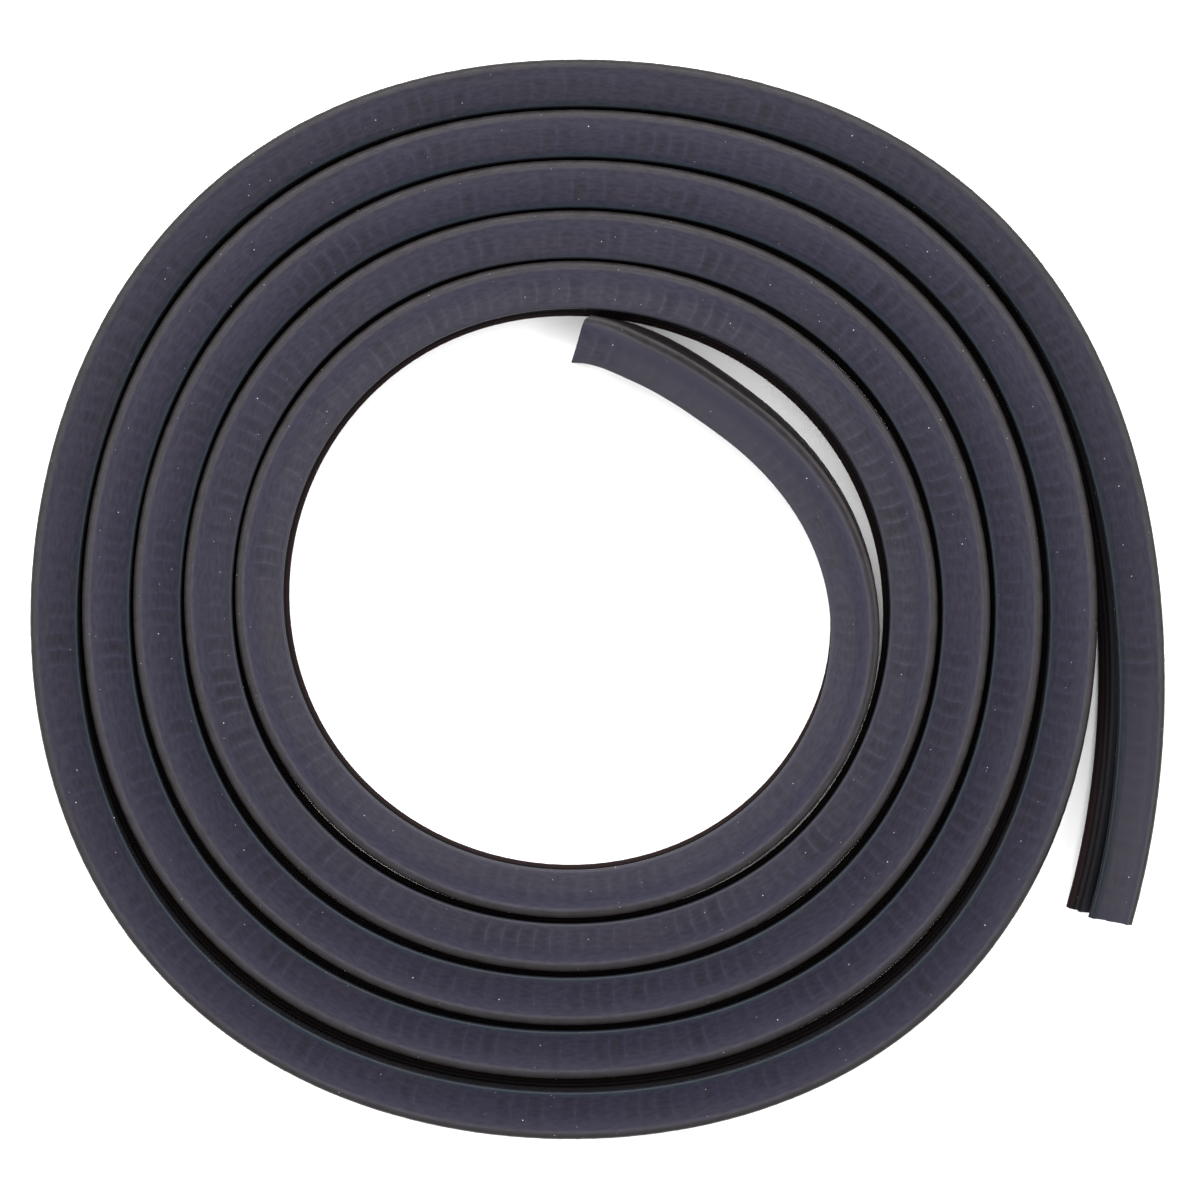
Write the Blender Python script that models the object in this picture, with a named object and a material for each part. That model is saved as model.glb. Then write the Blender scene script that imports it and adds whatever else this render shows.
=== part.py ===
"""A coil of truck door weatherstrip: one length of moulded rubber U-section seal, wound flat.

Metres, +Z up, seen from above as it lies on its side. The strip is one piece. Its crown, the
closed back of the U, looks outwards, and its mouth, with the gripping fins, looks to the middle
of the coil. It winds clockwise from the inner free end to the outer one.
"""
import math

import bpy
from mathutils import Vector

# The strip's section.
FACE_WIDTH = 0.016        # crown to leg tips
THICKNESS = 0.013         # across the two legs
UPPER_LEG_THICKNESS = 0.0021
LOWER_LEG_THICKNESS = 0.0027
CROWN_THICKNESS = 0.0032
LOWER_CORNER = (0.0032, 0.0032)     # width and height of the crown's rounded corners
UPPER_CORNER = (0.0029, 0.0018)
CORNER_STEPS = 2
TIP_BEVEL = 0.0006        # on the outer corner of each leg's tip

# Both fins lean out towards the mouth, the long one from the lower leg and the short one from
# the upper leg. Their roots and tips are so far in from the tips of the legs.
LONG_FIN_ROOT = 0.0072
LONG_FIN_TIP = 0.0012
LONG_FIN_HEIGHT = 0.0027
LONG_FIN_THICKNESS = 0.0018
SHORT_FIN_ROOT = 0.0095
SHORT_FIN_TIP = 0.0064
SHORT_FIN_HEIGHT = 0.0022
SHORT_FIN_THICKNESS = 0.0012

# The coil. Its radius is that of the crown line, and angles run clockwise from +X.
MIDDLE_RADIUS = 0.0854    # pole to the first turn's leg tips, at angle 0
TURN_GAP = 0.0016         # between neighbouring turns, on average
FIRST_ANGLE = math.radians(-90.7)
LAST_ANGLE = math.radians(1830.9)
TURNS_BETWEEN_SHAPES = 5  # the inner shape turns into the outer one over this many turns
STATIONS_PER_TURN = 48    # in fours, so that stations meet the coil's four sides

# How the coil is out of round: lobes, then the depth and heading of one lobe at the innermost
# turn, and the depth and heading at the outermost.
OUT_OF_ROUND = (
    (1, 0.0044, math.radians(160), 0.0050, math.radians(124)),
    (2, 0.0017, math.radians(12), 0.0015, math.radians(-14)),
    (4, 0.0002, math.radians(-26), 0.0026, math.radians(-41)),
)

# The last turn stands off the one inside it along one stretch.
STAND_OFF = 0.0022
STAND_OFF_ANGLE = math.radians(1521)
STAND_OFF_SPREAD = math.radians(126)

# The inner free end leaves the coil inwards and comes back to it at its tip.
INNER_DIP = 0.0064
INNER_DIP_ANGLE = math.radians(-50)
INNER_DIP_TO_TIP = math.radians(44)
INNER_DIP_TO_COIL = math.radians(75.5)
INNER_TIP_ROLL = math.radians(-8)   # crown edge up
INNER_ROLL = math.radians(-25)
INNER_ROLL_FULL = math.radians(-74)
INNER_ROLL_END = math.radians(50)
INNER_CUT_SLANT = 0.0052            # the mouth reaches so much further than the crown

# The outer free end straightens and leaves the coil.
OUTER_FLARE = 0.0183
OUTER_FLARE_START = math.radians(1752)
OUTER_FLARE_SPREAD = math.radians(78)
OUTER_FLARE_POWER = 3
OUTER_ROLL = math.radians(12)       # mouth edge up
OUTER_ROLL_START = math.radians(1795)
OUTER_ROLL_END = math.radians(1830)

# Where the strip has room inside it, its lower leg slides inwards from under the upper one, so
# that its walls lean: along two stretches (middle, spread, lean), and at the outer free end.
LEANING_STRETCHES = (
    (math.radians(312), math.radians(75), math.radians(7)),
    (math.radians(1521), math.radians(126), math.radians(8)),
)
OUTER_LEAN = math.radians(13)
OUTER_LEAN_START = math.radians(1755)
OUTER_LEAN_END = math.radians(1800)

RUBBER_COLOUR = (0.053, 0.051, 0.072, 1.0)
RUBBER_ROUGHNESS = 0.5


def smooth_step(value):
    """0 to 1 with level ends."""
    value = min(max(value, 0.0), 1.0)
    return value * value * (3 - 2 * value)


def hump(value):
    """1 at zero, and 0 with level ends at one and beyond, either way."""
    return math.cos(min(abs(value), 1.0) * math.pi / 2) ** 2


def crown_corner(corner, up, start, end):
    """Points round one corner of the crown, whose middle is so high, from one angle to another."""
    width, height = corner
    points = []
    for step in range(CORNER_STEPS + 1):
        angle = start + (end - start) * step / CORNER_STEPS
        points.append((width * (1 + math.cos(angle)), up + height * math.sin(angle)))
    return points


def fin(root, tip, height, thickness, wall, up):
    """A blunt fin on a leg's inner wall. Its corners run from the crown's side to the mouth's."""
    start = FACE_WIDTH - root
    end = FACE_WIDTH - tip
    length = math.hypot(end - start, height)
    back = height / length * thickness / 2
    rise = (end - start) / length * thickness / 2
    foot = thickness * length / height / 2
    return [
        (start - foot, wall),
        (end - back, wall + up * (height + rise)),
        (end + back, wall + up * (height - rise)),
        (start + foot, wall),
    ]


def section():
    """The U as (inward, up) points: inward from the crown line, up from the floor, counterclockwise."""
    lower_wall = LOWER_LEG_THICKNESS
    upper_wall = THICKNESS - UPPER_LEG_THICKNESS
    points = [(FACE_WIDTH - TIP_BEVEL, 0.0), (FACE_WIDTH, TIP_BEVEL), (FACE_WIDTH, lower_wall)]
    points += reversed(fin(LONG_FIN_ROOT, LONG_FIN_TIP, LONG_FIN_HEIGHT, LONG_FIN_THICKNESS, lower_wall, 1))
    points += [(CROWN_THICKNESS, lower_wall), (CROWN_THICKNESS, upper_wall)]
    points += fin(SHORT_FIN_ROOT, SHORT_FIN_TIP, SHORT_FIN_HEIGHT, SHORT_FIN_THICKNESS, upper_wall, -1)
    points += [(FACE_WIDTH, upper_wall), (FACE_WIDTH, THICKNESS - TIP_BEVEL)]
    points += [(FACE_WIDTH - TIP_BEVEL, THICKNESS)]
    points += crown_corner(UPPER_CORNER, THICKNESS - UPPER_CORNER[1], math.pi / 2, math.pi)
    points += crown_corner(LOWER_CORNER, LOWER_CORNER[1], math.pi, 3 * math.pi / 2)
    return points


def crown_radius(angle):
    """Distance of the crown line from the pole, at an angle that keeps counting through the turns."""
    outer_share = angle / (2 * math.pi * TURNS_BETWEEN_SHAPES)
    radius = MIDDLE_RADIUS + FACE_WIDTH + (FACE_WIDTH + TURN_GAP) * angle / (2 * math.pi)
    for lobes, inner_depth, inner_heading, outer_depth, outer_heading in OUT_OF_ROUND:
        radius += (1 - outer_share) * inner_depth * math.cos(lobes * (angle - inner_heading))
        radius += outer_share * outer_depth * math.cos(lobes * (angle - outer_heading))
    radius += STAND_OFF * hump((angle - STAND_OFF_ANGLE) / STAND_OFF_SPREAD)
    from_dip = angle - INNER_DIP_ANGLE
    radius -= INNER_DIP * hump(from_dip / (INNER_DIP_TO_TIP if from_dip < 0 else INNER_DIP_TO_COIL))
    flare = max((angle - OUTER_FLARE_START) / OUTER_FLARE_SPREAD, 0.0)
    return radius + OUTER_FLARE * flare ** OUTER_FLARE_POWER


def crown_point(angle):
    """A point of the crown line on the floor."""
    radius = crown_radius(angle)
    return Vector((radius * math.cos(angle), -radius * math.sin(angle), 0.0))


def roll(angle):
    """How far the strip is rolled about its own length: positive lifts the mouth's edge."""
    from_tip = smooth_step((angle - FIRST_ANGLE) / (INNER_ROLL_FULL - FIRST_ANGLE))
    fading = 1 - smooth_step((angle - INNER_ROLL_FULL) / (INNER_ROLL_END - INNER_ROLL_FULL))
    inner = (INNER_TIP_ROLL + (INNER_ROLL - INNER_TIP_ROLL) * from_tip) * fading
    outer = smooth_step((angle - OUTER_ROLL_START) / (OUTER_ROLL_END - OUTER_ROLL_START))
    return inner + OUTER_ROLL * outer


def lean(angle):
    """How far the strip's walls lean, with its lower leg inwards."""
    outer = smooth_step((angle - OUTER_LEAN_START) / (OUTER_LEAN_END - OUTER_LEAN_START))
    return OUTER_LEAN * outer + sum(
        most * hump((angle - middle) / spread) for middle, spread, most in LEANING_STRETCHES)


def as_it_lies(outline, angle):
    """The section leaning and rolled, with its outermost and its lowest point back at zero."""
    cosine = math.cos(roll(angle))
    sine = math.sin(roll(angle))
    slope = math.tan(lean(angle))
    leaning = [(x + (THICKNESS - z) * slope, z) for x, z in outline]
    turned = [(x * cosine - z * sine, x * sine + z * cosine) for x, z in leaning]
    outermost = min(x for x, z in turned)
    lowest = min(z for x, z in turned)
    return [(x - outermost, z - lowest) for x, z in turned]


def station_angles():
    """Angles of the sections: the same in every turn, so that neighbouring turns stay parallel."""
    step = 2 * math.pi / STATIONS_PER_TURN
    first = math.floor(FIRST_ANGLE / step + 0.5) + 1
    last = math.ceil(LAST_ANGLE / step - 0.5) - 1
    return [FIRST_ANGLE] + [step * index for index in range(first, last + 1)] + [LAST_ANGLE]


def ring(outline, angle):
    """The section's corners in space, at one station. The inner free end's is cut on the slant."""
    nudge = 1e-4
    tangent = (crown_point(angle + nudge) - crown_point(angle - nudge)).normalized()
    inward = Vector((tangent.y, -tangent.x, 0.0))
    start = crown_point(angle)
    slant = INNER_CUT_SLANT if angle == FIRST_ANGLE else 0.0
    corners = []
    for (depth, _), (x, z) in zip(outline, as_it_lies(outline, angle)):
        along = slant * (0.5 - depth / FACE_WIDTH)
        corners.append(start + tangent * along + inward * x + Vector((0.0, 0.0, z)))
    return corners


def strip_mesh():
    """The whole strip as one closed mesh, with the middle of its box over the origin."""
    outline = section()
    count = len(outline)
    rings = [ring(outline, angle) for angle in station_angles()]
    vertices = [point for corners in rings for point in corners]
    faces = []
    for station in range(len(rings) - 1):
        here = station * count
        there = here + count
        for corner in range(count):
            after = (corner + 1) % count
            faces.append((here + corner, there + corner, there + after, here + after))
    faces.append(tuple(range(count)))
    faces.append(tuple(reversed(range(len(vertices) - count, len(vertices)))))
    across = [v.x for v in vertices]
    along = [v.y for v in vertices]
    middle = Vector(((min(across) + max(across)) / 2, (min(along) + max(along)) / 2, 0.0))
    mesh = bpy.data.meshes.new("weatherstrip")
    mesh.from_pydata([v - middle for v in vertices], [], faces)
    mesh.update()
    mesh.shade_smooth()
    mesh.set_sharp_from_angle(angle=math.radians(40))
    return mesh


def rubber():
    """Black satin rubber."""
    material = bpy.data.materials.new("rubber")
    material.use_nodes = True
    shader = material.node_tree.nodes["Principled BSDF"]
    shader.inputs["Base Color"].default_value = RUBBER_COLOUR
    shader.inputs["Roughness"].default_value = RUBBER_ROUGHNESS
    return material


def main():
    for old in list(bpy.data.objects):
        bpy.data.objects.remove(old, do_unlink=True)
    strip = bpy.data.objects.new("weatherstrip", strip_mesh())
    strip.data.materials.append(rubber())
    bpy.context.scene.collection.objects.link(strip)


main()
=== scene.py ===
"""Looks of the coil of truck door weatherstrip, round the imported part.

One piece stands for the part's plain solid: the same strip on the same spiral, swept finely, with
the ribs of its carrier showing through the face of the upper leg, a beaded shoulder, rounded lips
and fins, and two cut ends. Metres, in the part's own frame, +Z up. Across the strip, inward runs
from the crown line to the leg tips, and up runs from the floor.
"""
import math

import bpy
import numpy as np
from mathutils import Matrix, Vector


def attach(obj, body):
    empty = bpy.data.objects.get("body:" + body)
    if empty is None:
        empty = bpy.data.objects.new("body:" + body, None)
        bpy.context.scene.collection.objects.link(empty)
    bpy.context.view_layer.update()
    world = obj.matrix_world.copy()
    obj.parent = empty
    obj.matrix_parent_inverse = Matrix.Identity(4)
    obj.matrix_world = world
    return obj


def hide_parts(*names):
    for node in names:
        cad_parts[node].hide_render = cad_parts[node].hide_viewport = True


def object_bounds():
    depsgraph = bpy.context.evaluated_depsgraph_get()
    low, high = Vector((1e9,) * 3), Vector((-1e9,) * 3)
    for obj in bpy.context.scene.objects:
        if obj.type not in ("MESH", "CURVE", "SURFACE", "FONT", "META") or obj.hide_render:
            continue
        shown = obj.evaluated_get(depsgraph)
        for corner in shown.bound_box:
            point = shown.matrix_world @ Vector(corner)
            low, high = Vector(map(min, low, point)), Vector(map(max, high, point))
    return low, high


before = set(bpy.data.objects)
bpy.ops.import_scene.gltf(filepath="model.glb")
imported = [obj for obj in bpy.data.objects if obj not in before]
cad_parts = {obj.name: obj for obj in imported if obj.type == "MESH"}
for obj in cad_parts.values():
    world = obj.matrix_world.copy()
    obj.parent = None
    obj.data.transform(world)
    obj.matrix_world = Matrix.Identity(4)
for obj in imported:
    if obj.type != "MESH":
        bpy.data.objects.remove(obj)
cad_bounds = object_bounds()

# The part's section, as its source has it.
FACE_WIDTH = 0.016
THICKNESS = 0.013
UPPER_LEG_THICKNESS = 0.0021
LOWER_LEG_THICKNESS = 0.0027
CROWN_THICKNESS = 0.0032
LOWER_CORNER = (0.0032, 0.0032)
UPPER_CORNER = (0.0029, 0.0018)
LONG_FIN = (0.0072, 0.0012, 0.0027, 0.0018)    # root, tip, height and thickness
SHORT_FIN = (0.0095, 0.0064, 0.0022, 0.0012)

# The part's coil, as its source has it. Angles run clockwise from +X, and keep counting.
MIDDLE_RADIUS = 0.0854
TURN_GAP = 0.0016
FIRST_ANGLE = math.radians(-90.7)
LAST_ANGLE = math.radians(1830.9)
TURNS_BETWEEN_SHAPES = 5
OUT_OF_ROUND = (    # lobes, then the depth and heading of the inner shape and of the outer one
    (1, 0.0044, math.radians(160), 0.0050, math.radians(124)),
    (2, 0.0017, math.radians(12), 0.0015, math.radians(-14)),
    (4, 0.0002, math.radians(-26), 0.0026, math.radians(-41)),
)
STAND_OFF = 0.0022
STAND_OFF_ANGLE = math.radians(1521)
STAND_OFF_SPREAD = math.radians(126)
INNER_DIP = 0.0064
INNER_DIP_ANGLE = math.radians(-50)
INNER_DIP_TO_TIP = math.radians(44)
INNER_DIP_TO_COIL = math.radians(75.5)
INNER_TIP_ROLL = math.radians(-8)
INNER_ROLL = math.radians(-25)
INNER_ROLL_FULL = math.radians(-74)
INNER_ROLL_END = math.radians(50)
OUTER_FLARE = 0.0183
OUTER_FLARE_START = math.radians(1752)
OUTER_FLARE_SPREAD = math.radians(78)
OUTER_FLARE_POWER = 3
OUTER_ROLL = math.radians(12)
OUTER_ROLL_START = math.radians(1795)
OUTER_ROLL_END = math.radians(1830)
LEANING_STRETCHES = (    # middle, spread and most lean of each
    (math.radians(312), math.radians(75), math.radians(7)),
    (math.radians(1521), math.radians(126), math.radians(8)),
)
OUTER_LEAN = math.radians(13)
OUTER_LEAN_START = math.radians(1755)
OUTER_LEAN_END = math.radians(1800)

# The finer section.
LIP_RADIUS = 0.0009        # of each leg's tip
LIP_STEPS = 2
BEAD_HEIGHT = 0.0002       # the face lies this far under the shoulder's bead
BEAD_FOOT = 0.0009         # crest of the bead to the face beside it
SHOULDER_STEPS = 4
FACE_STEPS = 6
LOWER_CORNER_STEPS = 3
CHANNEL_FILLET = 0.0006    # in the bottom of the channel
FIN_STEPS = 3              # round each fin's tip
SMOOTH_ANGLE = math.radians(62)

# Tables along the strip, which run a little past its ends.
TABLE_SPARE = math.radians(4)
TABLE_SIZE = 20001

# The carrier's ribs, which show through the face as ridges with shallow dents between them.
RIB_PITCH = 0.00535
RIB_SHARES = (0.0, 0.12, 0.37, 0.63, 0.88)   # sections within one pitch, with the ridge at 0
RIB_DEPTHS = (0.0, 0.75, 1.0, 1.0, 0.75)     # how far the dent has sunk at each
DENT_DEPTH = 0.00014
DENT_MOUTH_EDGE = 0.0146   # the dents lie between these distances from the crown line
DENT_CROWN_EDGE = 0.0050
DENT_EDGE_WANDER = 0.0008  # the edge near the crown wanders by this, in bumps of the next length
DENT_EDGE_REACH = 0.03
DENT_FADE = 0.0030
RIDGE_BOW = 0.0007         # the middle of each ridge leads its ends by this
RIDGE_BOW_MIDDLE = 0.0098
RIDGE_BOW_SPREAD = 0.0050
WALL_DENT_DEPTH = 0.00012  # the same ribs on the crown's wall
WALL_TOP_SHARE = 0.6       # above this share of the thickness, and within it of the corner's width
WEAKEST_RIB = 0.25         # each rib's strength is drawn between this and 1
RIB_WANDER = 0.38          # this share of it wanders too, in bumps of the next length
RIB_WANDER_REACH = 0.05
FIRST_TURN_RIBS = 0.45     # the ribs are fainter on the first turn
FIRST_TURN_RIBS_TO = 0.3   # so up to this length, and then stronger over the next one
FIRST_TURN_RIBS_FADE = 0.3

# Wavelengths of a wander, as shares of its reach, their number, and what scales it to -1 to 1.
WANDER_WAVES = (0.7, 2.5)
WANDER_COUNT = 24
WANDER_MOST = 1.4

# The two cut ends. The inner one slants in steps, given as (inward, along) from the crown's corner
# towards the tip, and the crown's corner is cut back by INNER_CUT_BACK. The outer one lies
# OUTER_CUT_REACH past the part's end in the middle of the face. It reaches further at the mouth
# than at the crown by OUTER_FACE_SLANT, and the lower leg's tip falls short of the upper one's.
END_REACH = 0.014          # each cut's shape fades out over this length
INNER_CUT = ((0.0, 0.0), (0.0020, 0.0018), (0.0095, 0.0030), (0.0107, 0.0038), (0.016, 0.0056))
INNER_CUT_BACK = 0.0027
OUTER_CUT_REACH = 0.0008
OUTER_FACE_SLANT = 0.0010
OUTER_LEG_SLANT = 0.0002
CUT_ROUGHNESS = 0.0002
CUT_WAVES = ((1060, 0, 1, 0.6), (2560, 900, 2, 0.4))   # radians a metre inward and up, seeds, share
INNER_CUT_SEED = 1.0
OUTER_CUT_SEED = 4.0

# The photograph's camera, straight above.
CAMERA_PLACE = (0.0008, -0.0003)
CAMERA_HEIGHT = 0.555
VIEW_ANGLE = math.radians(39.97)
NEAREST_SEEN = 0.01

# The floor, the ring of lamps and the sky.
FLOOR_SIZE = 6.0
FLOOR_COLOUR = (0.92, 0.92, 0.92)
FLOOR_ROUGHNESS = 0.8
FLOOR_SPECULAR = 0.5
LAMP_COUNT = 8
LAMP_DISTANCE = 2.2
LAMP_ELEVATION = math.radians(38)
LAMP_WIDTH = 1.25
LAMP_LENGTH = 0.85
LAMP_POWER = 27.5
LAMP_BIAS = 0.62           # more light comes from +Y than from -Y
SKY_STRENGTH = 0.34

# Colours across the strip, as (inward, colour): the crown's wall, the bead, the face and the lip. They
# paint light and shade over the rubber's blue-black colour: painted shade on the crown's wall and on the
# shoulder's band outside the bead, a painted highlight on the bead, painted shade that darkens the face
# towards the mouth, and a painted bluish highlight on the lip.
ACROSS_COLOURS_AND_PAINTED_LIGHT = (
    (0.0000, (0.0024, 0.0019, 0.0022)),
    (0.0003, (0.0110, 0.0088, 0.0100)),
    (0.0017, (0.0074, 0.0059, 0.0074)),
    (0.0024, (0.0160, 0.0143, 0.0180)),
    (0.0029, (0.0240, 0.0218, 0.0280)),
    (0.0037, (0.0142, 0.0132, 0.0215)),
    (0.0090, (0.0085, 0.0076, 0.0155)),
    (0.0140, (0.0060, 0.0051, 0.0115)),
    (0.0152, (0.0048, 0.0078, 0.0130)),
    (0.0160, (0.0034, 0.0048, 0.0075)),
)
INNER_FACE_COLOUR = (0.0165, 0.0153, 0.0218)   # the face of the first turns, up to the mouth
DULL_COLOUR = (0.0060, 0.0047, 0.0050)         # the blotches on the shoulder

# Colours below the face, as (inward, colour): the channel, the long fin, and the lower leg's tip. They
# hold painted shade deep in the channel and in the groove beside the lower lip, and a painted highlight
# on the long fin's tip.
LOWER_COLOURS_AND_PAINTED_LIGHT = (
    (0.0030, (0.0060, 0.0047, 0.0050)),
    (0.0100, (0.0035, 0.0036, 0.0045)),
    (0.0128, (0.0165, 0.0180, 0.0225)),
    (0.0141, (0.0190, 0.0165, 0.0180)),
    (0.0148, (0.0030, 0.0028, 0.0032)),
    (0.0152, (0.0125, 0.0080, 0.0082)),
    (0.0160, (0.0100, 0.0058, 0.0060)),
)
BROWN_COLOUR = (0.013, 0.009, 0.010)
DUST_COLOUR = (0.34, 0.34, 0.36)

# The rubber's finish. A noise is given by the size of its bumps across and along the strip and its
# detail, a range by a noise's values at the start and end of a change, and a span by lengths along
# the strip. A tone is what a colour is multiplied by.
RUBBER_ROUGHNESS = 0.46            # without the grain
GRAIN_ROUGHNESS = (0.40, 0.54)     # as the grain changes it
RUBBER_SPECULAR = 0.18
CHANNEL_SPECULAR = 0.02            # below the face
GRAIN = (0.0011, 0.0032, 3.0)
GRAIN_RANGE = (0.2, 0.8)
GRAIN_TONES = (0.93, 1.07)
GRAIN_BUMP_STRENGTH = 0.2
GRAIN_BUMP_HEIGHT = 0.00012
PATCHES = (0.009, 0.035, 1.0)      # brown ones
PATCH_RANGE = (0.5, 0.75)
PATCH_SHARE = 0.15
BLOTCHES = (0.02, 0.006, 2.0)      # dull ones on the shoulder
BLOTCH_RANGE = (0.45, 0.62)
BLOTCH_SHARE = 0.6
BLOTCH_EDGE = (0.0018, 0.0026)     # they fade out between these distances from the crown line
FIRST_TURNS_SPAN = (0.4, 2.1)
FIRST_TURNS_SHARE = 0.95
FIRST_TURNS_EDGE = (0.0050, 0.0100)    # their face has its own colour from here inwards
FACE_TONE = 1.08
# Painted light on the ribs: a painted highlight on each ridge, and painted shade in each dent.
RIDGE_HIGHLIGHT_TONE = 0.50                  # a ridge adds this, and a dent takes the next one away
DENT_SHADE_TONE = 0.50
INNER_END_SPAN = (0.05, 1.1)
INNER_END_TONE = 1.14
LAST_TURN_SPAN = (3.7, 4.0)
LAST_TURN_TONE = 0.82
DUST_LAYERS = ((0.010, 0.00026, 0.18), (0.0043, 0.00014, 0.06))    # spacing, radius, share of cells
DUST_CORE = 0.3                    # share of a speck's radius that is fully pale

# The cut ends' finish.
CUT_FINISH = (0.75, 0.3)           # roughness and specular level
CUT_COLOURS = ((0.010, 0.009, 0.010), (0.022, 0.020, 0.023))
CUT_GRAIN_SCALE = 1800.0
CUT_GRAIN_DETAIL = 3.0
CUT_GRAIN_RANGE = (0.3, 0.7)
CUT_BUMP_STRENGTH = 0.5
CUT_BUMP_HEIGHT = 0.0002

random = np.random.default_rng(7)


def hump(value):
    """1 at zero, and 0 with level ends at one and beyond, either way."""
    return np.cos(np.minimum(np.abs(value), 1.0) * math.pi / 2) ** 2


def smooth_step(value):
    """0 to 1 with level ends."""
    value = np.clip(value, 0.0, 1.0)
    return value * value * (3 - 2 * value)


def crown_radius(angle):
    """Distance of the crown line from the pole, as in the part's source."""
    outer_share = angle / (2 * math.pi * TURNS_BETWEEN_SHAPES)
    radius = MIDDLE_RADIUS + FACE_WIDTH + (FACE_WIDTH + TURN_GAP) * angle / (2 * math.pi)
    for lobes, inner_depth, inner_heading, outer_depth, outer_heading in OUT_OF_ROUND:
        radius += (1 - outer_share) * inner_depth * np.cos(lobes * (angle - inner_heading))
        radius += outer_share * outer_depth * np.cos(lobes * (angle - outer_heading))
    radius += STAND_OFF * hump((angle - STAND_OFF_ANGLE) / STAND_OFF_SPREAD)
    from_dip = angle - INNER_DIP_ANGLE
    spread = np.where(from_dip < 0, INNER_DIP_TO_TIP, INNER_DIP_TO_COIL)
    radius -= INNER_DIP * hump(from_dip / spread)
    flare = np.maximum((angle - OUTER_FLARE_START) / OUTER_FLARE_SPREAD, 0.0)
    return radius + OUTER_FLARE * flare ** OUTER_FLARE_POWER


def crown_points(angle):
    """Points of the crown line on the floor, as rows of x and y."""
    radius = crown_radius(angle)
    return np.stack([radius * np.cos(angle), -radius * np.sin(angle)], axis=-1)


def inward_directions(angle):
    """Unit vectors across the strip, from the crown towards the mouth."""
    nudge = 1e-4
    tangent = crown_points(angle + nudge) - crown_points(angle - nudge)
    tangent /= np.linalg.norm(tangent, axis=-1, keepdims=True)
    return np.stack([tangent[..., 1], -tangent[..., 0]], axis=-1)


def roll(angle):
    """How far the strip is rolled about its own length: positive lifts the mouth's edge."""
    from_tip = smooth_step((angle - FIRST_ANGLE) / (INNER_ROLL_FULL - FIRST_ANGLE))
    fading = 1 - smooth_step((angle - INNER_ROLL_FULL) / (INNER_ROLL_END - INNER_ROLL_FULL))
    inner = (INNER_TIP_ROLL + (INNER_ROLL - INNER_TIP_ROLL) * from_tip) * fading
    outer = smooth_step((angle - OUTER_ROLL_START) / (OUTER_ROLL_END - OUTER_ROLL_START))
    return inner + OUTER_ROLL * outer


def lean(angle):
    """How far the strip's walls lean, with its lower leg inwards."""
    outer = smooth_step((angle - OUTER_LEAN_START) / (OUTER_LEAN_END - OUTER_LEAN_START))
    return OUTER_LEAN * outer + sum(
        most * hump((angle - middle) / spread) for middle, spread, most in LEANING_STRETCHES)


def arc(middle, radius, start, end, steps):
    """Points round an ellipse's middle, whose radius is given as (inward, up)."""
    turn = np.linspace(start, end, steps + 1)
    return [(middle[0] + radius[0] * math.cos(t), middle[1] + radius[1] * math.sin(t)) for t in turn]


def fin(size, wall, up):
    """A round-tipped fin on a leg's inner wall, from its crown side to its mouth side."""
    root, tip, height, thickness = size
    start = FACE_WIDTH - root
    end = FACE_WIDTH - tip
    slope = math.atan2(height, end - start)
    foot = thickness / math.sin(slope) / 2
    radius = thickness / 2
    middle = (end - radius * math.cos(slope), wall + up * (height - radius * math.sin(slope)))
    tip_points = arc(middle, (radius, up * radius), slope + math.pi / 2, slope - math.pi / 2, FIN_STEPS)
    return [(start - foot, wall)] + tip_points + [(start + foot, wall)]


def upper_outline():
    """The upper leg as (inward, up) points, from its inner wall at the mouth to the crown."""
    wall = THICKNESS - UPPER_LEG_THICKNESS
    face = THICKNESS - BEAD_HEIGHT
    lip = (LIP_RADIUS, LIP_RADIUS)
    width, height = UPPER_CORNER
    quarter = math.pi / 2
    points = [(FACE_WIDTH - LIP_RADIUS / 2, wall), (FACE_WIDTH - LIP_RADIUS / 6, wall + LIP_RADIUS / 3)]
    points += arc((FACE_WIDTH - LIP_RADIUS, face - LIP_RADIUS), lip, 0, quarter, LIP_STEPS)
    face_places = np.linspace(FACE_WIDTH - LIP_RADIUS, width + BEAD_FOOT, FACE_STEPS + 1)
    points += [(x, face) for x in face_places[1:]]
    points += [(width + BEAD_FOOT / 3, THICKNESS - BEAD_HEIGHT / 3)]
    points += arc((width, THICKNESS - height), UPPER_CORNER, quarter, math.pi, SHOULDER_STEPS)
    return points + [(0.0, THICKNESS / 2)]


def lower_outline():
    """The rest of the section as (inward, up) points, from the crown and under to the upper wall."""
    lower_wall = LOWER_LEG_THICKNESS
    upper_wall = THICKNESS - UPPER_LEG_THICKNESS
    lip = (LIP_RADIUS, LIP_RADIUS)
    quarter = math.pi / 2
    bottom = CROWN_THICKNESS
    past_fillet = CROWN_THICKNESS + CHANNEL_FILLET
    points = arc(LOWER_CORNER, LOWER_CORNER, math.pi, 3 * quarter, LOWER_CORNER_STEPS)
    points += arc((FACE_WIDTH - LIP_RADIUS, LIP_RADIUS), lip, -quarter, 0, LIP_STEPS)
    points += [(FACE_WIDTH, lower_wall - LIP_RADIUS / 2), (FACE_WIDTH - LIP_RADIUS / 2, lower_wall)]
    points += reversed(fin(LONG_FIN, lower_wall, 1))
    points += [(past_fillet, lower_wall), (bottom, lower_wall + CHANNEL_FILLET)]
    points += [(bottom, upper_wall - CHANNEL_FILLET), (past_fillet, upper_wall)]
    return points + fin(SHORT_FIN, upper_wall, -1)


UPPER = np.array(upper_outline())
LOWER = np.array(lower_outline())
OUTLINE = np.vstack([UPPER, LOWER])


def as_it_lies(inward, up, turned, slope):
    """Section places after the strip leans and rolls, before they are moved back to zero."""
    inward = inward + (THICKNESS - up) * slope
    return inward * np.cos(turned) - up * np.sin(turned), inward * np.sin(turned) + up * np.cos(turned)


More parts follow.
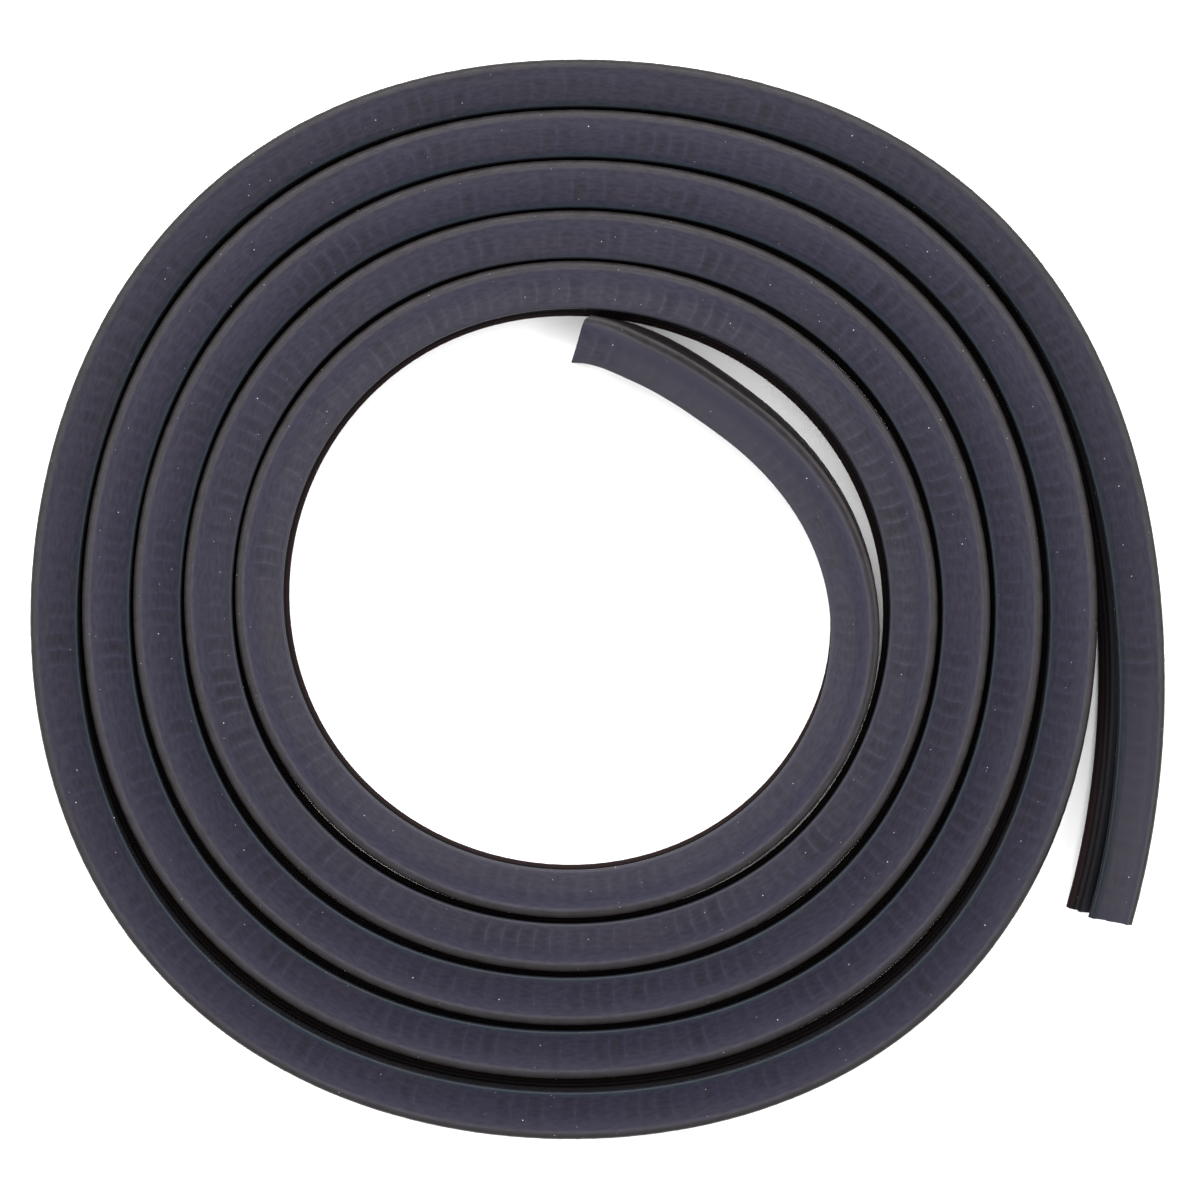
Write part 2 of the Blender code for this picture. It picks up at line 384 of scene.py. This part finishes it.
# The tables: the angle at each length along the strip's middle, the roll, the lean, and how far the
# section then moves back to zero.
table_angles = np.linspace(FIRST_ANGLE - TABLE_SPARE, LAST_ANGLE + TABLE_SPARE, TABLE_SIZE)
middle_line = crown_points(table_angles) + inward_directions(table_angles) * FACE_WIDTH / 2
table_steps = np.linalg.norm(np.diff(middle_line, axis=0), axis=1)
table_lengths = np.concatenate([[0], np.cumsum(table_steps)])
table_lengths -= np.interp(FIRST_ANGLE, table_angles, table_lengths)
LENGTH = np.interp(LAST_ANGLE, table_angles, table_lengths)
RIB_COUNT = round(LENGTH / RIB_PITCH)
table_rolls = roll(table_angles)
table_leans = np.tan(lean(table_angles))
table_inward, table_up = as_it_lies(OUTLINE[:, :1], OUTLINE[:, 1:], table_rolls, table_leans)
table_outermost = table_inward.min(0)
table_lowest = table_up.min(0)


def along_table(along, table):
    """A table's values at some lengths."""
    return np.interp(along, table_lengths, table)


def place(along, inward, up):
    """World points of the strip before centring, from arrays of length along, inward and up."""
    angle = along_table(along, table_angles)
    turned = along_table(along, table_rolls)
    slope = along_table(along, table_leans)
    across, height = as_it_lies(inward, up, turned, slope)
    across = across - along_table(along, table_outermost)
    height = height - along_table(along, table_lowest)
    flat = crown_points(angle) + inward_directions(angle) * across[..., None]
    return np.concatenate([flat, height[..., None]], axis=-1)


def wander(places, reach):
    """Smooth noise from -1 to 1 along the strip, whose bumps are about one reach long."""
    total = np.zeros_like(places)
    for _ in range(WANDER_COUNT):
        wave = reach * random.uniform(*WANDER_WAVES)
        total += np.sin(places * 2 * math.pi / wave + random.uniform(0, 2 * math.pi))
    return np.clip(total / math.sqrt(WANDER_COUNT) / WANDER_MOST, -1, 1)


def ragged(inward, up, seed):
    """Small steps of a knife's cut."""
    return CUT_ROUGHNESS * sum(
        share * np.sin(inward * per_inward + up * per_up + seeds * seed)
        for per_inward, per_up, seeds, share in CUT_WAVES)


def toward_ends(along, inward, up):
    """Moves the strip's last few millimetres so that its ends have their cut shape."""
    near_first = np.clip(1 - along / END_REACH, 0, 1)
    near_last = np.clip(1 - (LENGTH - along) / END_REACH, 0, 1)
    inner_places, inner_steps = zip(*INNER_CUT)
    first = INNER_CUT_BACK - np.interp(inward, inner_places, inner_steps)
    inward_share = inward / FACE_WIDTH
    last = OUTER_CUT_REACH + OUTER_FACE_SLANT * (inward_share - 0.5)
    last -= OUTER_LEG_SLANT * (1 - up / THICKNESS) * inward_share
    first += ragged(inward, up, INNER_CUT_SEED)
    last += ragged(inward, up, OUTER_CUT_SEED)
    return along + near_first * first + near_last * last


def strip_rings():
    """Arrays for the fine upper rings: their stations, each corner's place, and its dent and ridge."""
    pitch = LENGTH / RIB_COUNT
    stations = (np.arange(RIB_COUNT)[:, None] + np.array(RIB_SHARES)).ravel()
    stations = np.append(stations, RIB_COUNT) * pitch
    depth = np.append(np.tile(RIB_DEPTHS, RIB_COUNT), 0.0)
    rib_strength = np.repeat(random.uniform(WEAKEST_RIB, 1.0, RIB_COUNT + 1), len(RIB_SHARES))
    strength = 1 - RIB_WANDER + RIB_WANDER * wander(stations, RIB_WANDER_REACH)
    strength *= rib_strength[:len(stations)]
    past_first_turn = smooth_step((stations - FIRST_TURN_RIBS_TO) / FIRST_TURN_RIBS_FADE)
    strength *= FIRST_TURN_RIBS + (1 - FIRST_TURN_RIBS) * past_first_turn
    dent_edge = DENT_CROWN_EDGE + DENT_EDGE_WANDER * wander(stations, DENT_EDGE_REACH)

    inward, up = UPPER.T
    from_mouth = smooth_step((DENT_MOUTH_EDGE - inward) / (DENT_FADE / 2))
    from_crown = smooth_step((inward[None, :] - dent_edge[:, None]) / DENT_FADE)
    on_face = (up > THICKNESS - 2 * BEAD_HEIGHT) & (inward > UPPER_CORNER[0])
    over_face = from_mouth * from_crown * on_face * strength[:, None]
    dent = over_face * depth[:, None]
    ridge = over_face * (1 - depth[:, None])
    on_wall = (inward < UPPER_CORNER[0] * WALL_TOP_SHARE) & (up > THICKNESS * WALL_TOP_SHARE)
    wall_dent = np.outer(depth * strength, on_wall)

    clear_of_ends = np.clip(np.minimum(stations, LENGTH - stations) / END_REACH, 0, 1)
    bow = RIDGE_BOW * hump((inward - RIDGE_BOW_MIDDLE) / RIDGE_BOW_SPREAD) * on_face
    along = stations[:, None] + np.outer(clear_of_ends, bow)
    across = inward + WALL_DENT_DEPTH * wall_dent
    height = up - DENT_DEPTH * dent
    return stations, along, across, height, dent, ridge


def below_face(points):
    """1 for the corners on and below the upper leg's inner wall, and 0 for those above it."""
    rounding = 1e-5
    return (points[:, 1] < THICKNESS - UPPER_LEG_THICKNESS + rounding).astype(float)


def walk_round():
    """How far each corner is round the section, the lower outline first."""
    loop = np.vstack([LOWER, UPPER])
    steps = np.linalg.norm(np.diff(loop, axis=0), axis=1)
    return np.concatenate([[0], np.cumsum(steps)])


def strip_faces(fine_count, rib_count):
    """The side faces and then the two ends, as tuples of vertex numbers."""
    upper_size = len(UPPER)
    lower_size = len(LOWER)
    per_rib = len(RIB_SHARES)

    def fine(ring, corner):
        return ring * upper_size + corner

    def coarse(ring, corner):
        return fine_count * upper_size + ring * lower_size + corner

    def band(corner_of, ring, corner):
        return (corner_of(ring, corner), corner_of(ring + 1, corner),
                corner_of(ring + 1, corner + 1), corner_of(ring, corner + 1))

    faces = [band(fine, r, c) for r in range(fine_count - 1) for c in range(upper_size - 1)]
    faces += [band(coarse, r, c) for r in range(rib_count) for c in range(lower_size - 1)]
    for ring in range(rib_count):
        across_rib = range(ring * per_rib, (ring + 1) * per_rib + 1)
        crown_side = [fine(r, upper_size - 1) for r in across_rib]
        crown_side += [coarse(ring + 1, 0), coarse(ring, 0)]
        mouth_side = [coarse(ring, lower_size - 1), coarse(ring + 1, lower_size - 1)]
        mouth_side += [fine(r, 0) for r in reversed(across_rib)]
        faces += [tuple(crown_side), tuple(mouth_side)]
    start = [coarse(0, c) for c in range(lower_size)] + [fine(0, c) for c in range(upper_size)]
    end = [coarse(rib_count, c) for c in range(lower_size)]
    end += [fine(fine_count - 1, c) for c in range(upper_size)]
    return faces + [tuple(start), tuple(reversed(end))]


def strip_mesh():
    """The whole strip as one closed mesh in the part's place, with its finishes as attributes."""
    stations, along, across, height, dent, ridge = strip_rings()
    rings = stations[::len(RIB_SHARES)]
    zeros = np.zeros(len(LOWER))

    def joined(fine, lower):
        """The fine rings' values, then the lower corners' ones, repeated on each coarse ring."""
        return np.concatenate([fine.ravel(), np.tile(lower, len(rings))])

    def on_all(upper, lower):
        """Values of the section's corners, repeated on each ring."""
        return joined(np.tile(upper, len(stations)), lower)

    first_inward = on_all(UPPER[:, 0], LOWER[:, 0])
    first_up = on_all(UPPER[:, 1], LOWER[:, 1])
    along = np.concatenate([along.ravel(), np.repeat(rings, len(LOWER))])
    along = toward_ends(along, first_inward, first_up)
    points = place(along, joined(across, LOWER[:, 0]), joined(height, LOWER[:, 1]))
    low, high = (np.array(corner) for corner in cad_bounds)
    middle = (points[:, :2].min(0) + points[:, :2].max(0)) / 2
    points[:, :2] += (low[:2] + high[:2]) / 2 - middle
    points = np.clip(points, low, high)

    faces = strip_faces(len(stations), len(rings) - 1)
    mesh = bpy.data.meshes.new("weatherstrip_skin")
    mesh.from_pydata(points, [], faces)
    mesh.update()
    cuts = np.zeros(len(mesh.polygons), dtype=np.int32)
    cuts[-2:] = 1
    mesh.polygons.foreach_set("material_index", cuts)

    walked = walk_round()
    around = on_all(walked[len(LOWER):], walked[:len(LOWER)])
    wall = on_all(below_face(UPPER), below_face(LOWER))
    write_attribute(mesh, "strip", (along, around, first_inward))
    write_attribute(mesh, "relief", (joined(dent, zeros), joined(ridge, zeros), wall))
    mesh.shade_smooth()
    mesh.set_sharp_from_angle(angle=SMOOTH_ANGLE)
    return mesh


def write_attribute(mesh, name, columns):
    """Stores three numbers on each vertex."""
    layer = mesh.attributes.new(name, "FLOAT_VECTOR", "POINT")
    layer.data.foreach_set("vector", np.stack(columns, axis=-1).astype(np.float32).ravel())


class Shader:
    """A material's nodes, made and joined in short lines."""

    def __init__(self, name, roughness, specular):
        self.material = bpy.data.materials.new(name)
        self.material.use_nodes = True
        self.tree = self.material.node_tree
        self.out = self.tree.nodes["Principled BSDF"]
        self.out.inputs["Roughness"].default_value = roughness
        self.out.inputs["Specular IOR Level"].default_value = specular

    def node(self, kind, settings=None, **inputs):
        """A node with its settings, and its inputs by name or as i0, i1: values or other outputs."""
        made = self.tree.nodes.new(kind)
        for name, value in (settings or {}).items():
            setattr(made, name, value)
        for name, value in inputs.items():
            key = int(name[1:]) if name[1:].isdigit() else name.replace("_", " ")
            self.join(made.inputs[key], value)
        return made

    def join(self, socket, value):
        """Links another node's output to a socket, or sets its value."""
        if isinstance(value, bpy.types.NodeSocket):
            self.tree.links.new(value, socket)
        elif isinstance(value, tuple) and len(value) == 3 and socket.type == "RGBA":
            socket.default_value = (*value, 1.0)
        else:
            socket.default_value = value

    def math(self, operation, first, second):
        """A sum, a product or the like of two values."""
        return self.node("ShaderNodeMath", {"operation": operation}, i0=first, i1=second).outputs[0]

    def change(self, value, places, start, end):
        """From start to end while a value goes from one place to another, and level beyond."""
        low, high = places
        limits = {"i1": low, "i2": high, "i3": start, "i4": end}
        settings = {"interpolation_type": "SMOOTHSTEP"}
        return self.node("ShaderNodeMapRange", settings, i0=value, **limits).outputs[0]

    def mix(self, share, first, second):
        """One colour turning into another."""
        return self.node("ShaderNodeMix", {"data_type": "RGBA"}, i0=share, i6=first, i7=second).outputs[2]

    def scale(self, colour, factor):
        """A colour made lighter or darker."""
        return self.node("ShaderNodeVectorMath", {"operation": "SCALE"}, i0=colour, i3=factor).outputs[0]

    def noise(self, place, across, along, detail):
        """Flat noise with bumps so many metres across and along the strip."""
        size = (1 / along, 1 / across, 0.0)
        stretched = self.node("ShaderNodeVectorMath", {"operation": "MULTIPLY"}, i0=place, i1=size)
        inputs = {"Vector": stretched.outputs[0], "Scale": 1.0, "Detail": detail}
        return self.node("ShaderNodeTexNoise", {"noise_dimensions": "2D"}, **inputs).outputs[0]

    def bump(self, height, strength, distance):
        """Small relief on the surface."""
        made = self.node("ShaderNodeBump", Height=height, Strength=strength, Distance=distance)
        self.join(self.out.inputs["Normal"], made.outputs[0])

    def attribute(self, name):
        """A mesh attribute, whole and as its three numbers."""
        found = self.node("ShaderNodeAttribute", {"attribute_name": name}).outputs["Vector"]
        return found, self.node("ShaderNodeSeparateXYZ", Vector=found).outputs

    def stops(self, place, colours):
        """Colours that turn into one another at given places."""
        first = colours[0][0]
        reach = colours[-1][0] - first
        share = self.math("DIVIDE", self.math("SUBTRACT", place, first), reach)
        ramp = self.node("ShaderNodeValToRGB", Fac=share)
        elements = ramp.color_ramp.elements
        for index, (position, colour) in enumerate(colours):
            element = elements[index] if index < 2 else elements.new(1.0)
            element.position = (position - first) / reach
            element.color = (*colour, 1.0)
        return ramp.outputs[0]


def rubber():
    """Satin black rubber with painted light: a ribbed face with painted highlights on the ridges and
    painted shade in the dents, a painted highlight on the bead, painted shade on the brownish crown and
    in the channel, painted bluish highlights on the lips, and dust.
    """
    shader = Shader("satin_black_rubber", RUBBER_ROUGHNESS, RUBBER_SPECULAR)
    strip, (along, _, across) = shader.attribute("strip")
    _, (dent, ridge, below) = shader.attribute("relief")
    grain = shader.noise(strip, *GRAIN)
    patches = shader.noise(strip, *PATCHES)
    blotches = shader.noise(strip, *BLOTCHES)

    # the colours across the strip, with painted shade on the crown's wall and shoulder, and painted
    # highlights on the bead and the lip
    colour = shader.stops(across, ACROSS_COLOURS_AND_PAINTED_LIGHT)
    on_first_turns = shader.change(along, FIRST_TURNS_SPAN, FIRST_TURNS_SHARE, 0.0)
    past_edge = shader.change(across, FIRST_TURNS_EDGE, 0.0, 1.0)
    inner_face = shader.math("MULTIPLY", on_first_turns, past_edge)
    colour = shader.mix(inner_face, colour, INNER_FACE_COLOUR)
    # painted highlights on the ridges and painted shade in the dents, on top of their real relief
    ridge_highlight = shader.math("MULTIPLY", ridge, RIDGE_HIGHLIGHT_TONE)
    dent_shade = shader.math("MULTIPLY", dent, DENT_SHADE_TONE)
    relief = shader.math("SUBTRACT", ridge_highlight, dent_shade)
    colour = shader.scale(colour, shader.math("ADD", relief, FACE_TONE))
    colour = shader.mix(shader.change(patches, PATCH_RANGE, 0.0, PATCH_SHARE), colour, BROWN_COLOUR)
    blotched = shader.change(blotches, BLOTCH_RANGE, 0.0, BLOTCH_SHARE)
    on_shoulder = shader.change(across, BLOTCH_EDGE, 1.0, 0.0)
    colour = shader.mix(shader.math("MULTIPLY", blotched, on_shoulder), colour, DULL_COLOUR)
    # below the face, the channel's colours: painted shade in the channel and the groove, and a painted
    # highlight on the long fin
    colour = shader.mix(below, colour, shader.stops(across, LOWER_COLOURS_AND_PAINTED_LIGHT))
    colour = shader.scale(colour, shader.change(grain, GRAIN_RANGE, *GRAIN_TONES))
    colour = shader.scale(colour, shader.change(along, INNER_END_SPAN, INNER_END_TONE, 1.0))
    colour = shader.scale(colour, shader.change(along, LAST_TURN_SPAN, 1.0, LAST_TURN_TONE))
    colour = shader.mix(dust_specks(shader, strip), colour, DUST_COLOUR)
    roughness = shader.change(grain, GRAIN_RANGE, *GRAIN_ROUGHNESS)
    specular = shader.change(below, (0.0, 1.0), RUBBER_SPECULAR, CHANNEL_SPECULAR)
    shader.join(shader.out.inputs["Base Color"], colour)
    shader.join(shader.out.inputs["Roughness"], roughness)
    shader.join(shader.out.inputs["Specular IOR Level"], specular)
    shader.bump(grain, GRAIN_BUMP_STRENGTH, GRAIN_BUMP_HEIGHT)
    return shader.material


def dust_specks(shader, strip):
    """Scattered pale specks: some larger ones and more fine ones."""
    total = 0.0
    for spacing, radius, share in DUST_LAYERS:
        inputs = {"Vector": strip, "Scale": 1 / spacing}
        cells = shader.node("ShaderNodeTexVoronoi", {"voronoi_dimensions": "2D"}, **inputs).outputs
        edge = radius / spacing
        near = shader.change(cells["Distance"], (edge * DUST_CORE, edge), 1.0, 0.0)
        pick = shader.node("ShaderNodeSeparateXYZ", Vector=cells["Color"]).outputs
        chosen = shader.math("MULTIPLY", near, shader.math("LESS_THAN", pick[0], share))
        total = shader.math("MAXIMUM", total, shader.math("MULTIPLY", chosen, pick[1]))
    return total


def cut_rubber():
    """The duller, drier face that a knife leaves."""
    shader = Shader("cut_rubber", *CUT_FINISH)
    strip, _ = shader.attribute("strip")
    inputs = {"Vector": strip, "Scale": CUT_GRAIN_SCALE, "Detail": CUT_GRAIN_DETAIL}
    grain = shader.node("ShaderNodeTexNoise", **inputs).outputs[0]
    colour = shader.mix(shader.change(grain, CUT_GRAIN_RANGE, 0.0, 1.0), *CUT_COLOURS)
    shader.join(shader.out.inputs["Base Color"], colour)
    shader.bump(grain, CUT_BUMP_STRENGTH, CUT_BUMP_HEIGHT)
    return shader.material


def weatherstrip():
    """The strip itself, which stands for the part's plain solid."""
    skin = bpy.data.objects.new("weatherstrip_skin", strip_mesh())
    bpy.context.scene.collection.objects.link(skin)
    skin.data.materials.append(rubber())
    skin.data.materials.append(cut_rubber())
    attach(skin, "root")
    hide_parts("weatherstrip")


def floor():
    """A wide white floor."""
    half = FLOOR_SIZE / 2
    mesh = bpy.data.meshes.new("floor")
    corners = [(-half, -half, 0), (half, -half, 0), (half, half, 0), (-half, half, 0)]
    mesh.from_pydata(corners, [], [(0, 1, 2, 3)])
    shader = Shader("white_floor", FLOOR_ROUGHNESS, FLOOR_SPECULAR)
    shader.join(shader.out.inputs["Base Color"], FLOOR_COLOUR)
    mesh.materials.append(shader.material)
    made = bpy.data.objects.new("floor", mesh)
    bpy.context.scene.collection.objects.link(made)


def lamps():
    """A ring of soft lamps round the coil, and an even sky."""
    for index in range(LAMP_COUNT):
        heading = 2 * math.pi * (index + 0.5) / LAMP_COUNT
        data = bpy.data.lights.new(f"softbox_{index}", "AREA")
        data.shape = "RECTANGLE"
        data.size = LAMP_WIDTH
        data.size_y = LAMP_LENGTH
        data.energy = LAMP_POWER * (1 + LAMP_BIAS * math.sin(heading))
        lamp = bpy.data.objects.new(data.name, data)
        level = LAMP_DISTANCE * math.cos(LAMP_ELEVATION)
        height = LAMP_DISTANCE * math.sin(LAMP_ELEVATION)
        lamp.location = (level * math.cos(heading), level * math.sin(heading), height)
        lamp.rotation_euler = (math.pi / 2 - LAMP_ELEVATION, 0, heading + math.pi / 2)
        lamp.visible_camera = False
        bpy.context.scene.collection.objects.link(lamp)
    world = bpy.data.worlds.new("sky")
    world.use_nodes = True
    background = world.node_tree.nodes["Background"]
    background.inputs["Color"].default_value = (1.0, 1.0, 1.0, 1.0)
    background.inputs["Strength"].default_value = SKY_STRENGTH
    bpy.context.scene.world = world


def camera():
    """The photograph's camera."""
    data = bpy.data.cameras.new("camera")
    data.angle = VIEW_ANGLE
    data.clip_start = NEAREST_SEEN
    made = bpy.data.objects.new("camera", data)
    made.location = (*CAMERA_PLACE, CAMERA_HEIGHT)
    bpy.context.scene.collection.objects.link(made)
    bpy.context.scene.camera = made


weatherstrip()
floor()
lamps()
camera()
bpy.context.scene.view_settings.view_transform = "Standard"
